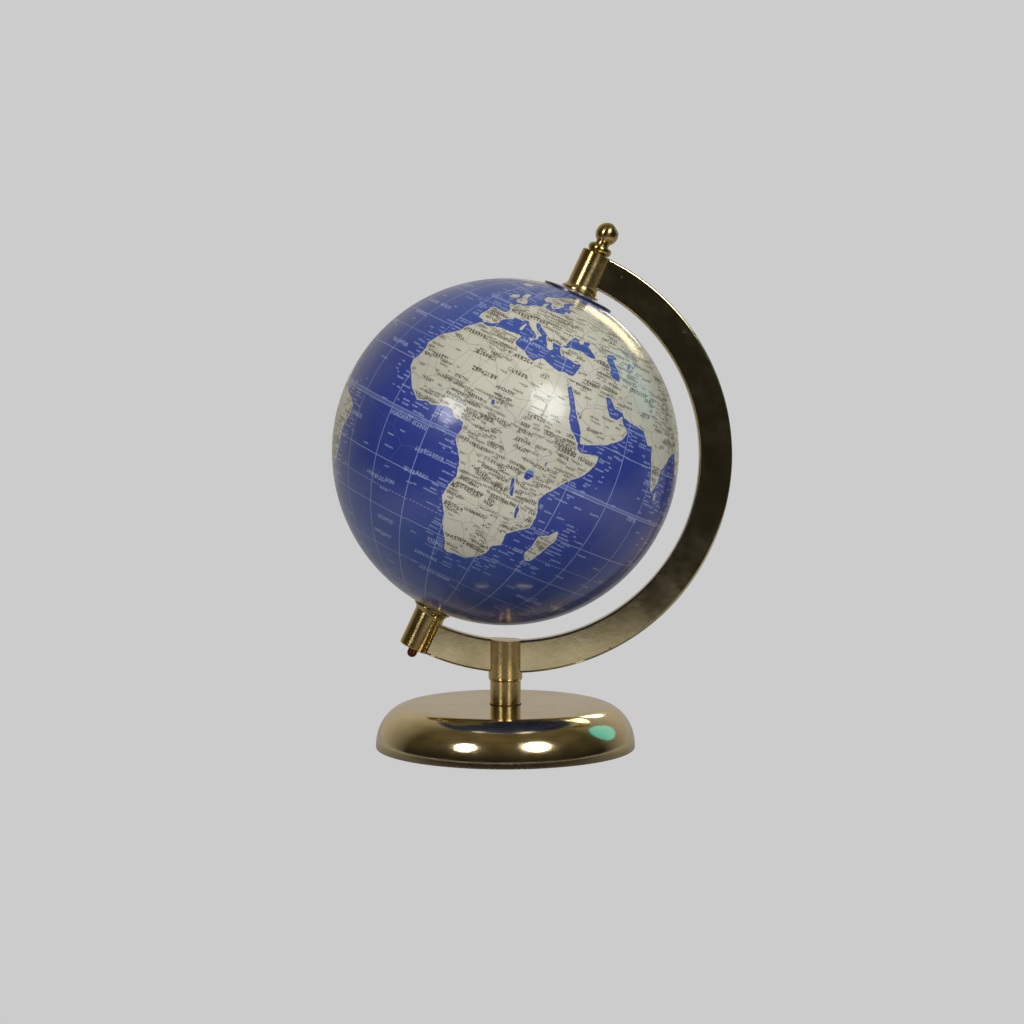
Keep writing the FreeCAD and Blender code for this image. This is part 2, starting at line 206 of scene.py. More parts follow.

# %% [markdown]
# The map is printed on paper gores: twelve half gores to a hemisphere, pasted on the ball edge to edge. To
# print it we need the coasts. Each is a short list of longitude and latitude, with just the corners that
# the outline of a small globe shows. Lakes and inland seas are outlines too, cut out of the land.

# %% The coasts, in degrees of longitude and latitude
LAND = {
    "africa": """-5.9 35.8 -2.9 35.2 1.5 36.6 5.5 36.8 9.8 37.3 11 36.9 10.2 34.4 11.2 33.2 15.2 32.3
        17.5 30.9 19.6 30.4 20.1 31.6 21.8 32.9 24.9 31.9 29 30.9 31 31.6 32.6 31.4 32.5 29.9 33.6 27.6
        35.5 24 37.2 21 37.4 18.8 39.2 15.7 41.2 14.4 43 12.4 43.2 11.4 45 10.4 48 11.2 51.2 11.9
        50.8 9.3 49.4 6.6 48 4.6 44 1.2 41.6 -1.8 39.4 -4.6 38.8 -6.5 39.6 -8.4 40.5 -10.6 40.7 -15
        37 -17.8 34.9 -19.9 35.5 -23.8 32.8 -25.6 32.6 -28.4 30.2 -31.3 27.2 -33.6 25.6 -34 22.2 -34.1
        20 -34.8 18.4 -34.1 18.3 -32 16.5 -28.7 14.7 -25 14.4 -22.5 11.8 -17.8 12.6 -13.5 13.8 -10.5
        12.8 -6 11.5 -4 8.9 -0.7 9.6 2.3 9 4.4 7 4.5 5.6 4.7 4.4 6.3 1.5 6.2 -2.1 4.9 -4 5.3 -7.5 4.4
        -9.3 5.7 -11.4 6.9 -13.2 8.9 -15 10.9 -16.8 12.5 -17.4 14.7 -16.5 16.2 -16.1 19 -17 21.2
        -15.9 23.8 -14.4 26.2 -11.5 28.2 -9.8 29.8 -9.7 31.5 -7.5 33.7""",
    "europe_and_asia": """32.3 31.2 34.2 31.3 35.1 33 35.9 35.5 36.1 36.8 33.6 36.1 30.6 36.8 27.7 36.7
        26.4 38.4 26.2 40 23.8 40.2 22.9 40.4 23.2 39 24 37.8 22.8 36.5 21.6 37.1 21 38.4 19.4 40.6
        19.4 41.9 16.4 43.4 14.2 45.2 13.6 45.7 12.4 44.8 13.6 43.4 14.8 42.1 16.1 41.8 18.4 40.1
        17 40.4 16.6 39.6 17.1 38.9 16 37.9 15.6 39.9 14 40.9 12.2 41.8 10.4 43 8.8 44.4 6.6 43.1
        3.1 43.2 3.2 41.9 0.8 40.7 -0.3 39.4 0.2 38.7 -0.8 37.6 -2.2 36.7 -5.4 36.1 -6.4 36.8 -8.9 37
        -9.5 38.7 -8.8 41.2 -9.2 43.1 -8 43.8 -4 43.5 -1.8 43.4 -1.2 45.5 -4.6 48 -4.7 48.5 -1.6 48.7
        -1.8 49.7 1.5 50.3 3.5 51.5 4.8 53 8.5 53.8 8.2 56.8 10.6 57.7 10.2 55.5 10.8 54.3 14.2 53.9
        18.6 54.7 21.1 55.2 21.3 57.5 24.2 57.3 23.6 59.2 30 59.9 25 60.3 22.3 60.2 21.4 62.5 25.4 65
        22.2 65.8 17.5 62.3 18.8 60 16.4 57 14.3 55.5 12.6 56.3 11.2 59 8 58.1 5.4 59 5.1 62 10.5 64.4
        14.5 67.8 20 70 25.8 71.1 31 70.3 36 69.2 41.2 67.2 40 66.3 34 66.6 34.9 64.5 38 64.4 40.5 64.7
        42 66.4 44.2 66.3 43.4 68.5 46.5 68.1 54 68.5 60.5 69.6 68.5 68.4 67 71.5 72.8 72.8 72.6 68
        75.5 72.5 80.8 73.6 87 75 98.5 76.4 104.2 77.7 113 75.9 113.5 73.5 123 73.2 129 71.2 140 72.5
        150 71.6 160 69.8 170 70 178 69.4 190.2 66 187.3 64.4 180 65 177.5 62.5 170.5 60 163.5 60
        162 57.8 160 53.2 156.8 51 155.8 56.8 163.5 62.5 156.5 61.5 155 59.4 143 59.3 135.2 54.7 141 53
        140.4 48.5 135.5 44.5 131.5 43 129.8 41 127.5 39.5 129.4 37 129.2 35.2 126.4 34.5 126.6 37.2
        125 39.6 121.4 39 121.8 40.8 118 39 119 37.2 122.4 37.2 119.2 35 121.8 31.2 121.6 28.3
        118.2 24.4 113.8 22.3 110.3 21 108.2 21.6 105.8 19 108.8 15.4 109.2 11.6 106.6 10.2 105 8.7
        104.8 10.3 102.6 11.9 100.8 13.4 99.9 11.5 100.2 8.5 103.4 4.2 104.2 1.4 101.4 2.6 100.3 5.8
        98.3 8.4 98.7 12.5 97.6 16.6 94.4 16 94.2 18.6 91.8 22.4 88.8 21.7 86.8 20.8 82.3 16.8
        80.2 15.5 80.2 12 78.2 8.9 77.5 8.1 76.2 10 74.6 14 72.8 18.9 72.7 21.4 70.2 20.9 69 22.4
        67.2 24.8 61.6 25.2 57.2 25.9 56.4 27.1 52.6 27.5 50.1 30.1 48.2 29.9 49.6 27.3 50.3 25.5
        51.3 24.2 54.2 24.2 56.3 26.2 56.8 24.2 59.8 22.4 57.8 19 55.2 17.4 52.2 15.6 45 12.9 43.5 12.9
        42.8 15.8 39.2 20.8 37.2 24.8 34.9 28 34.2 27.8 32.6 29.9""",
    "north_america": """-168 65.6 -161.8 66.4 -166.2 68.6 -156.6 71.3 -141 69.7 -128 70.4 -115 68.2
        -102 67.8 -94 69.4 -94.6 72 -86 69.8 -85.8 66.4 -93.8 61.8 -94.6 58.8 -88 56.6 -82.2 55.1
        -82.2 52.9 -79 51.4 -78.6 54.8 -76.6 57.2 -78 62.4 -72 61.6 -69.4 58.9 -64.6 60.3 -61.4 56.8
        -56 52.6 -60.2 50.2 -66.4 50.2 -65 48.2 -61.2 45.6 -66 43.6 -70 43.6 -70.2 41.8 -74 40.6
        -75.8 36.8 -81.2 31.6 -80.2 26 -81.8 26 -83 29.4 -89.6 30.2 -94.8 29.2 -97.4 26 -97.8 22.4
        -95.2 18.6 -91 18.6 -90.2 21.2 -87 21.4 -88.2 16 -83.4 15 -83.6 11 -81.2 8.9 -77.6 8.6
        -79.6 7.6 -82.8 8.2 -85.8 10.2 -87.8 12.8 -93.8 15.8 -98.8 16.4 -105.4 20.2 -106.8 23.4
        -112.2 28.8 -114.6 31.6 -112.4 27 -109.6 23 -112.6 26.2 -115.4 29.6 -117.2 32.6 -120.6 34.6
        -124.2 40.2 -124.2 46.4 -123 49 -130.2 54.8 -137 58.8 -146.8 60.8 -152 59.4 -158.6 56.2
        -163.6 54.8 -157.6 58.6 -162.2 60 -165.2 62.4 -161.2 64.4""",
    "south_america": """-77.4 8.6 -75.4 10.8 -71.6 12.4 -67.8 10.6 -62 10.6 -57.4 6 -51.6 4.2 -50 0.2
        -44.4 -2.6 -38.6 -3.8 -35.2 -5.4 -34.9 -8.2 -38.8 -13 -39.4 -17.8 -41.8 -22.6 -48.4 -26
        -53.6 -33.8 -57.8 -34.6 -57.4 -38.2 -62.2 -39 -65.2 -42.4 -65.8 -46.8 -68.8 -50.6 -68.4 -52.6
        -65.4 -54.8 -71.4 -54 -75.4 -50 -74.4 -44 -73.4 -38.8 -71.6 -32.6 -70.2 -18.4 -76.2 -14
        -81.2 -6 -80.4 -2.6 -80 0.8 -77.4 3.8 -78 7.4""",
    "australia": """114 -22 116.8 -20.6 121.8 -18.2 126 -14.2 129.6 -14.9 132.6 -11.4 136.8 -12.2
        135.6 -15 139.6 -17.6 141.6 -14 142.6 -10.8 145.4 -15 149.2 -20.8 153.2 -25.2 153.2 -30
        150.2 -36 147 -38.4 143.6 -38.8 140.2 -37.6 138 -33.4 135.6 -34.8 131.2 -31.6 126 -32.4
        123.6 -33.9 118.2 -34.9 115.2 -34.2 115.6 -31.6""",
    "antarctica": """-180 -78 -158 -77.5 -146 -75.4 -126 -73.6 -102 -72.6 -84 -73 -74 -70 -64 -66
        -57 -63.4 -61 -67 -62 -74 -50 -78 -36 -78 -26 -75.6 -12 -71.4 6 -69.8 26 -70 38 -69.2 52 -66.2
        60 -67.4 70 -70.2 80 -67.6 92 -66.4 110 -66.2 130 -66.2 146 -67.4 162 -71 168 -77.6 180 -78
        180 -90 -180 -90""",
    "greenland": """-73 78.2 -62 81.6 -32 83.5 -18 80.2 -20 74.4 -22.2 70.4 -32.2 68 -40 65 -43.6 60
        -49 62.4 -53.6 67 -54 71.2 -60 76""",
    "madagascar": """49.3 -12 50.4 -15.6 49.4 -18 47.2 -24.8 45.4 -25.5 43.6 -23.4 44.4 -20 44.4 -16.3
        47.2 -15""",
    "britain": """-5.2 50.1 1.3 51.2 1.6 52.7 -0.2 54 -2 55.8 -1.9 57.6 -3.2 58.6 -5.6 57.8 -4.9 55
        -3 54.2 -4.5 53 -4.8 51.8 -3 51.3""",
    "ireland": "-6.2 52.2 -9.8 51.6 -9.8 54 -7.4 55.3 -5.6 54.4",
    "iceland": "-22.5 64 -18.5 63.4 -13.8 65 -16.2 66.5 -22.8 66.3",
    "sicily": "12.5 38 15.6 38.2 15.1 36.7",
    "sardinia": "8.3 39 9.6 39.3 9.5 43 8.6 42.2 8.3 40.8",
    "crete": "23.5 35.5 26.3 35.2 24.7 34.9",
    "cyprus": "32.4 35 34.5 35.6 33.6 34.7",
    "svalbard": "11 79 20 80.4 24 79.8 17 76.6",
    "novaya": "52 71 58 75.5 68 76.8 60 74 56 71",
    "ceylon": "79.8 8 80.2 9.7 81.8 7.2 80.4 6",
    "sumatra": "95.4 5.5 98.6 3.6 103.8 -0.8 105.8 -5.8 102.2 -3.8 98.6 1.2",
    "java": "105.2 -6.6 110.8 -6.4 114.4 -7.8 114.2 -8.6 106.4 -7.4",
    "borneo": "109.2 1.6 113 3.2 116.8 6.9 119 5.2 117.6 0.8 116 -3.8 110.4 -2.8",
    "celebes": """119.2 -3.2 120 0.6 124.9 1.4 120.9 0.2 122.8 -1 121.6 -2.2 122.6 -4.6 120.6 -3
        120.2 -5.5""",
    "new_guinea": """131.2 -0.8 134.2 -0.8 137.8 -1.6 144.6 -3.9 147.8 -6 150.6 -10.4 147 -9.4 143 -9
        138.2 -8.2 137.6 -5.4 133.2 -4""",
    "philippines": """120.6 18.4 122.2 18.2 121.6 14.4 125.4 11.4 126.4 7.2 124 6.2 122.2 7.4
        123.2 10.2 120.4 14""",
    "taiwan": "120.2 23 121.6 25.1 120.8 22",
    "japan": """130.2 31.4 131.6 33.4 135.2 33.6 139.2 34.8 140.8 35.8 142 39.6 145.2 43.4 141.8 45.4
        140.2 42 139.8 39.4 136.8 37.2 132.8 35.4 129.8 33.2""",
    "sakhalin": "142.2 46 143.4 49.4 142.8 54.2 141.8 51",
    "tasmania": "144.8 -40.8 148.3 -41 147 -43.5",
    "new_zealand_north": "172.8 -34.6 175.6 -36.6 178.4 -37.8 175.2 -41.5 173.8 -39.3",
    "new_zealand_south": "172.8 -40.6 174.2 -41.8 171 -45.4 168.6 -46.6 166.6 -45.8 170.6 -42.8",
    "baffin": "-88 73.6 -78 73.2 -68 70.2 -62 66.6 -66 62.6 -74 64.6 -73.6 68.2 -84.8 70",
    "ellesmere": "-90 76.8 -78 76.4 -66 80.4 -64 82.8 -90 81.8",
    "victoria_island": "-117 70 -116 73 -106 73.2 -102 69.6 -112 68.6",
    "cuba": "-84.8 21.9 -80.4 23.1 -74.4 20.2 -77.8 19.9",
    "hispaniola": "-74.2 19.8 -68.6 18.8 -71.6 17.8 -74.2 18.4",
    "newfoundland": "-59.2 47.8 -55.6 51.4 -53 47",
    "kerguelen": "68.6 -48.8 70.4 -48.9 70 -49.7",
}
WATER = {
    "black_sea": """28 41.6 28.6 43.6 30.8 46.4 33.3 46.1 32.6 45.4 33.9 44.5 35.4 45.2 35.2 46.4
        38.8 47.1 38.2 46 37 45.2 39.2 44 41.5 42.2 41.3 41.2 38 41 35.2 42 31.8 41.3 29.2 41.2""",
    "marmara": "26 40 27.4 41 29.4 41.3 29 40.4 27.4 40.3",
    "caspian": """47.2 45.2 51.2 46.9 53 45.2 50.4 44.4 52.6 41.6 53.9 39 53.8 37 50.4 37.3 48.9 38.6
        49.6 40.4 47.6 42.8""",
    "aral": "58.4 44.2 60.6 46.6 61.8 45.6 59.6 43.6",
    "victoria": "31.8 -0.2 33.6 0.5 34.3 -1 33 -2.7 31.7 -2.2",
    "tanganyika": "29.1 -3.4 30 -4.6 30.8 -6.8 31.4 -8.8 30.4 -8.4 29.3 -6.2 28.9 -4.4",
    "malawi": "33.9 -9.6 34.9 -11.4 35.2 -14.4 34.3 -13.6 33.9 -11.6",
    "chad": "13.6 13.8 14.7 14 15 12.6 14 12.4",
    "turkana": "35.8 4.8 36.4 4.2 36.8 2.5 36.1 2.9",
    "baikal": "104 51.4 106.5 53.2 109.8 55.8 109.4 53.8 107 52",
    "superior": "-91.8 46.8 -88.5 48.7 -84.8 46.8 -87.5 46.5",
    "michigan": "-87.9 42 -87.9 44.5 -85.4 46 -86.2 42.2",
    "huron": "-83.8 46 -80.2 45.2 -81.8 43.2 -83.4 44.2",
    "erie": "-83.3 41.5 -79 43 -81.5 41.4",
    "great_bear": "-124 65.2 -120 66.8 -119 65.6",
    "great_slave": "-116 61 -110 62.8 -113 60.8",
}


def outline(text):
    return np.array(text.split(), dtype=float).reshape(-1, 2)


print("outlines", len(LAND), "corners", sum(len(outline(text)) for text in LAND.values()))

# %% [markdown]
# A coast has to be crisp, yet no picture is used. So the paper carries a number instead: at each point of
# the mesh, how far that point is from the nearest coast in millimetres, positive on land and negative at
# sea. The shader only asks whether the number is above zero, and draws an edge that stays sharp between
# points.

# %% Distance from the coast
FAR = 16.0  # mm, past which the distance no longer matters
MANY_CORNERS = 40  # an outline this large is never skipped as out of reach


def on_unit_ball(lon, lat):
    lon, lat = np.radians(lon), np.radians(lat)
    return np.stack([np.cos(lat) * np.cos(lon), np.cos(lat) * np.sin(lon), np.sin(lat)], -1)


def inside(corners, lon, lat):
    """Which points an outline holds, counting the edges that lie to one side of each."""
    hit = np.zeros(lon.shape, bool)
    for (x1, y1), (x2, y2) in zip(corners, np.roll(corners, -1, 0)):
        if y1 != y2:
            hit ^= ((y1 > lat) != (y2 > lat)) & (lon < (x2 - x1) * (lat - y1) / (y2 - y1) + x1)
    return hit


def edge_distance(corners, points):
    """Distance to the nearest coast edge; the edges that only close Antarctica at the pole are no coast."""
    near = np.full(len(points), FAR)
    solid = on_unit_ball(*corners.T) * BALL_R / MM
    for start, end, low in zip(solid, np.roll(solid, -1, 0), zip(corners[:, 1], np.roll(corners[:, 1], -1))):
        if min(low) <= -90:
            continue
        way = end - start
        share = np.clip((points - start) @ way / (way @ way), 0, 1)
        near = np.minimum(near, np.linalg.norm(points - start - share[:, None] * way, axis=1))
    return near


def from_coast(lon, lat):
    """Signed distance in mm: land counts up from the coast, water down."""
    points = on_unit_ball(lon, lat) * BALL_R / MM
    middle, reach = points.mean(0), np.linalg.norm(points - points.mean(0), axis=1).max() + FAR
    answer = np.full(len(points), -FAR)
    for outlines, is_land in ((LAND, True), (WATER, False)):
        for text in outlines.values():
            corners = outline(text)
            solid = on_unit_ball(*corners.T) * BALL_R / MM
            long_side = np.linalg.norm(solid - np.roll(solid, 1, 0), axis=1).max()
            nearest = np.linalg.norm(solid - middle, axis=1).min()
            if nearest > reach + long_side and len(corners) < MANY_CORNERS:
                continue
            held = inside(corners, lon, lat) | inside(corners, lon + 360, lat)
            signed = np.where(held, 1, -1) * edge_distance(corners, points)
            answer = np.maximum(answer, signed) if is_land else np.minimum(answer, -signed)
    return answer


check = from_coast(np.array([20.0, -20.0, 33.0]), np.array([5.0, -20.0, -1.0]))
print("mm from the coast: inland, open sea, lake", [round(float(value), 1) for value in check])

# %% [markdown]
# One half gore is a flat grid, bent on to the ball: its columns become longitude and its rows latitude, so
# the strip narrows by itself towards the pole. `create_grid` makes the flat sheet and `solidify` gives it
# the thickness of paper. A hand-pasted gore never lies quite true, so each one is printed a fraction of a
# millimetre off, and lines miss each other a little at the joins.

# %% Paste the gores
GORES = 12  # round each hemisphere
COLUMNS = 44
ROWS = 138
SEAM = math.radians(0.05)
EQUATOR_GAP = math.radians(0.025)
MISPRINT = 0.22  # degrees, the most that a gore is printed off its place
SPREAD_EAST = 0.06  # the print is a little wider and taller than life about its middle
SPREAD_NORTH = 0.075
VIEW_MERIDIAN = 25.0  # degrees east, the meridian that faces front at rest
MM_PER_DEGREE = math.radians(BALL_R / MM)
slips = random.Random(7)


def half_gore(number, north):
    middle = math.radians(360 / GORES * (number + 0.5))
    half_width = math.pi / GORES - SEAM / 2
    top = math.acos(POLE_HOLE / BALL_R)
    paper = bmesh.new()
    bmesh.ops.create_grid(paper, x_segments=COLUMNS, y_segments=ROWS, size=1)
    layers = {name: paper.verts.layers.float_vector.new(name) for name in ("printed", "chart")}
    coast = paper.verts.layers.float.new("coast")
    lon = np.array([middle + half_width * v.co.x for v in paper.verts])
    lat = np.array([EQUATOR_GAP + (top - EQUATOR_GAP) * (v.co.y + 1) / 2 for v in paper.verts])
    lat = lat if north else -lat
    slip = [slips.uniform(-MISPRINT, MISPRINT) for _ in "xy"]
    east = lon - math.radians(VIEW_MERIDIAN)
    print_lon = (np.degrees(lon - SPREAD_EAST * np.sin(east)) + slip[0] + 180) % 360 - 180
    print_lat = np.degrees(lat - SPREAD_NORTH * np.sin(2 * lat) / 2) + slip[1]
    apart = from_coast(print_lon, print_lat)
    chart_x = ((print_lon - VIEW_MERIDIAN + 180) % 360 - 180) * np.cos(lat) * MM_PER_DEGREE
    for i, vertex in enumerate(paper.verts):
        out = math.cos(lat[i])
        level = out * math.cos(east[i]) * FRONT + out * math.sin(east[i]) * SIDE
        vertex.co = CENTRE + BALL_R * (level + math.sin(lat[i]) * AXIS)
        vertex[layers["printed"]] = (print_lon[i], print_lat[i], out)
        vertex[layers["chart"]] = (chart_x[i], print_lat[i] * MM_PER_DEGREE, 0)
        vertex[coast] = apart[i]
    if not north:
        bmesh.ops.reverse_faces(paper, faces=paper.faces)
    bmesh.ops.solidify(paper, geom=paper.faces[:], thickness=PAPER)
    return paper


def piece(name, shape, body, slot, *replaced, sharp=35.0, material=None):
    """Turns a finished bmesh into an object of the scene, smooth but for edges sharper than the angle."""
    mesh = bpy.data.meshes.new(name)
    shape.to_mesh(mesh)
    shape.free()
    mesh.polygons.foreach_set("use_smooth", [True] * len(mesh.polygons))
    mesh.set_sharp_from_angle(angle=math.radians(sharp))
    thing = bpy.data.objects.new(name, mesh)
    bpy.context.scene.collection.objects.link(thing)
    if material:
        mesh.materials.append(material)
    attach(thing, body)
    if replaced:
        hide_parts(*replaced)
    return thing


gores = []
for half, node in ((True, "map_north"), (False, "map_south")):
    for number in range(GORES):
        name = f"gore_{'north' if half else 'south'}_{number + 1:02d}"
        gores.append(piece(name, half_gore(number, half), "globe", "map_paper", node))
print("gores", len(gores), "faces each", len(gores[0].data.polygons))

# %% [markdown]
# The print is several inks, worked out from the numbers that the paper carries. Names, lines and grounds have
# functions of their own, and all are laid on together at the end. First the names. They are not real words:
# each is a short bar of broken strokes, placed at random by a cell pattern, which reads as small type.

# %% Names that are not words
SHORTEST = 0.15  # half the length of the shortest name, as a share of the longest
LENGTH_SPREAD = 0.35
HALF_LETTER = 0.36  # half the step from one letter to the next, as a share of the height
HALF_GAP = 0.085  # half the gap between letters, likewise
STROKE_BREAKS = 2.4  # patches of noise to a height; they break the strokes
STROKE_EDGE = (0.38, 0.5)
SEED_UP = 0.37  # how far a seed shifts the pattern up, against how far it shifts it across
UNEVEN = 0.85  # how far the pattern strays from even rows
# each kind of name: seed, room that it takes across and up, height, and greatest length, in mm
TOWN = (3.0, (3.8, 1.35), 0.8, 5.2)
REGION = (11.0, (6.8, 2.5), 1.15, 8.5)
COUNTRY = (23.0, (13.0, 6.0), 1.6, 12.0)
ISLAND = (31.0, (4.6, 1.3), 0.55, 5.0)
OCEAN = (47.0, (17.0, 7.0), 1.5, 13.0)


def names(m, chart, kind, share):
    """Bars of broken strokes scattered along the parallels; share is how many places have one."""
    seed, (room_across, room_up), height, longest = kind
    grid = m.moved(chart, place=(seed, seed * SEED_UP, 0), scale=(1 / room_across, 1 / room_up, 1))
    spot = m.cells(grid, spread=UNEVEN)
    chance = m.split(spot["Color"])
    here, centre = m.split(grid), m.split(spot["Position"])
    across = m.times(m.math("SUBTRACT", here[0], centre[0]), room_across)
    up = m.times(m.math("SUBTRACT", here[1], centre[1]), room_up)
    half_length = m.math("MULTIPLY_ADD", chance[0], longest * LENGTH_SPREAD, longest * SHORTEST)
    in_length = m.math("LESS_THAN", m.math("ABSOLUTE", across), half_length)
    in_height = m.math("LESS_THAN", m.math("ABSOLUTE", up), height / 2)
    letters = m.math("GREATER_THAN", m.math("PINGPONG", across, height * HALF_LETTER), height * HALF_GAP)
    strokes = m.ramp(m.noise(STROKE_BREAKS / height, 1.0, 0.5, at=chart), *STROKE_EDGE)
    bar, type_face = m.times(in_length, in_height), m.times(letters, strokes)
    return m.times(bar, type_face, m.math("LESS_THAN", chance[1], share))


print("heights of type in mm", [kind[2] for kind in (TOWN, REGION, COUNTRY, ISLAND, OCEAN)])

# %% [markdown]
# Names crowd together in some regions, thin out over the desert, and are few far out at sea. A slow noise
# says how crowded a region is, and the latitude and the distance from the coast change that.

# %% Where the names stand
DESERT_MIDDLE = 22.0  # degrees north
DESERT_EDGE = (4.0, 9.0)  # degrees from its middle, where names begin to come back and where all are back
DESERT_SHARE = 0.3  # names left in its middle
REGIONS_ACROSS = 0.065  # crowded and empty regions to a mm
CROWDED_FROM, CROWDED_FULL = 0.4, 0.58
FEWEST, MOST = 0.15, 0.97  # share of places with a name, in empty and in crowded regions
INLAND = (0.2, 0.7)  # mm from the coast, as the next two; water counts below zero
NEAR_SHORE = (-8.0, -3.0)
OFF_SHORE = (-0.8, -0.3)
ISLANDS_FAR, ISLANDS_NEAR = 0.06, 0.75


def land_names(m, chart, lat, coast):
    region = m.noise(REGIONS_ACROSS, 2.0, 0.5, at=chart)
    crowded = m.ramp(region, CROWDED_FROM, CROWDED_FULL, FEWEST, MOST)
    crowded = m.times(crowded, m.ramp(m.apart(lat, DESERT_MIDDLE), *DESERT_EDGE, DESERT_SHARE, 1.0))
    towns = names(m, chart, TOWN, crowded)
    regions = names(m, chart, REGION, m.times(crowded, 0.8))
    countries = names(m, chart, COUNTRY, 0.35)
    return m.times(m.most(towns, regions, countries), m.ramp(coast, *INLAND))


def sea_names(m, chart, coast):
    islands = names(m, chart, ISLAND, m.ramp(coast, *NEAR_SHORE, ISLANDS_FAR, ISLANDS_NEAR))
    oceans = m.times(names(m, chart, OCEAN, 0.3), 0.8)
    return m.times(m.most(islands, oceans), m.ramp(coast, *OFF_SHORE, 1.0, 0.0))


print("desert, degrees north", DESERT_MIDDLE - DESERT_EDGE[1], "to", DESERT_MIDDLE + DESERT_EDGE[1])

# %% [markdown]
# The net of meridians and parallels is drawn from the printed longitude and latitude. `PINGPONG` folds a
# number back and forth, so it says how far each point is from the nearest line. The equator is a pale band
# between two rails, and the tropics are dashed.

# %% The net
GRID_STEP = 15.0  # degrees
TROPIC = 23.4
HALF_DASH = 0.7  # degrees, half of a dash and its gap together
HALF_DASH_GAP = 0.24
MERIDIAN_WIDTH = 0.24  # mm, as the rest below
PARALLEL_WIDTH = 0.22
TROPIC_WIDTH = 0.2
RAIL_WIDTH = 0.28
RAIL_OUT = 0.5
EQUATOR_BAND = 1.0
EQUATOR_CLEAR = 2.0  # no plain parallel is drawn nearer to the equator than this
RAIL_INK, BAND_INK = 0.85, 0.35  # how strong, against the other lines


def line_mask(m, distance, width, soft=0.1):
    """One on a line of the given width in mm, fading out over `soft` at its edges."""
    return m.ramp(distance, width / 2 - soft / 2, width / 2 + soft, 1.0, 0.0)


def net_of_lines(m, lon, lat, narrow):
    """Narrow is how much closer the meridians are here than at the equator."""
    to_meridian = m.times(m.math("PINGPONG", lon, GRID_STEP / 2), m.times(narrow, MM_PER_DEGREE))
    to_parallel = m.times(m.math("PINGPONG", lat, GRID_STEP / 2), MM_PER_DEGREE)
    to_equator = m.times(m.math("ABSOLUTE", lat), MM_PER_DEGREE)
    to_tropic = m.times(m.apart(m.math("ABSOLUTE", lat), TROPIC), MM_PER_DEGREE)
    clear = m.math("GREATER_THAN", to_equator, EQUATOR_CLEAR)
    meridians = line_mask(m, to_meridian, MERIDIAN_WIDTH)
    parallels = m.times(line_mask(m, to_parallel, PARALLEL_WIDTH), clear)
    rails = m.times(line_mask(m, m.apart(to_equator, RAIL_OUT), RAIL_WIDTH), RAIL_INK)
    band = m.times(line_mask(m, to_equator, EQUATOR_BAND), BAND_INK)
    dashes = m.math("GREATER_THAN", m.math("PINGPONG", lon, HALF_DASH), HALF_DASH_GAP)
    tropics = m.times(line_mask(m, to_tropic, TROPIC_WIDTH), dashes)
    return m.most(meridians, parallels, rails, band, tropics)


print("meridians", round(360 / GRID_STEP), "parallels", round(180 / GRID_STEP) - 1)

# %% [markdown]
# Borders, rivers and sea lanes follow nothing real. A cell pattern divides the map into patches, and its
# lines are where two patches meet. Borders and rivers are drawn on a chart that noise has bent, so that they
# wander.

# %% Borders, rivers and sea lanes
WANDER = 3.4  # mm
BENDS = 0.16  # to a mm
# each kind of line: where its pattern starts, cells to a mm across and up, how uneven they are, how near a
# cell's edge the ink is full and how far from it there is none, in cells, and how strong the ink is
BORDER = ((0, 0, 0), (0.115, 0.13, 1), 0.9, (0.008, 0.02), 0.45)
RIVER = ((3, 8, 0), (0.06, 0.06, 1), 1.0, (0.005, 0.011), 0.5)
SEA_LANE = ((5, 2, 0), (0.02, 0.024, 1), 1.0, (0.0015, 0.004), 0.12)


def bent_chart(m, chart):
    drift = m.vector("MULTIPLY", m.noise(BENDS, 2.0, 0.5, at=chart, out="Color"), (WANDER, WANDER, 0))
    return m.vector("ADD", chart, drift)


def patch_lines(m, at, kind):
    start, scale, spread, (full, none), ink = kind
    edge = m.cells(m.moved(at, place=start, scale=scale), "DISTANCE_TO_EDGE", spread)[0]
    return m.ramp(edge, full, none, ink, 0.0)


print("a country is about", round(1 / BORDER[1][0], 1), "mm across")

# %% [markdown]
# Now the ground colours. The sea is deep blue, paler near the coasts, a little greener towards the poles,
# and rubbed grey in patches. The land is a grey cream that yellows towards the poles.

# %% Sea and land
DEEP, MIDDLE_BLUE = linear(40, 52, 128), linear(50, 66, 146)
RUBBED, SHALLOW, COLD = linear(72, 84, 138), linear(52, 74, 172), linear(64, 90, 158)
GREY_CREAM, CREAM, POLAR = linear(184, 182, 167), linear(199, 196, 180), linear(196, 190, 158)
SHALLOWS = (-2.2, -0.1)  # mm from the coast
SEA_COOLS = (10.0, 48.0)  # degrees from the equator
LAND_COOLS = (58.0, 72.0)


def sea_ground(m, lat, land_side):
    sea = m.blend(m.noise(14.0, 3.0), DEEP, MIDDLE_BLUE)
    sea = m.blend(m.ramp(m.noise(26.0, 5.0, 0.65), 0.42, 0.66, 0.0, 0.45), sea, RUBBED)
    sea = m.blend(m.ramp(land_side, *SHALLOWS, 0.0, 0.3), sea, SHALLOW)
    return m.blend(m.ramp(m.math("ABSOLUTE", lat), *SEA_COOLS, 0.0, 0.7), sea, COLD)


def land_ground(m, lat):
    ground = m.blend(m.ramp(m.noise(22.0, 4.0), 0.35, 0.65), GREY_CREAM, CREAM)
    return m.blend(m.ramp(m.math("ABSOLUTE", lat), *LAND_COOLS, 0.0, 0.6), ground, POLAR)


print("deep sea as light", [round(v, 3) for v in DEEP[:3]])

# %% [markdown]
# Last, all the inks go on one sheet. Noise makes the coast ragged on the small scale that the outlines leave
# out. A thin grey rim follows it, as where two inks meet, and old handling has left faint brown stains. The
# paper is matt, with a coat of varnish over it: the coat gives the bright, slightly soft highlights.

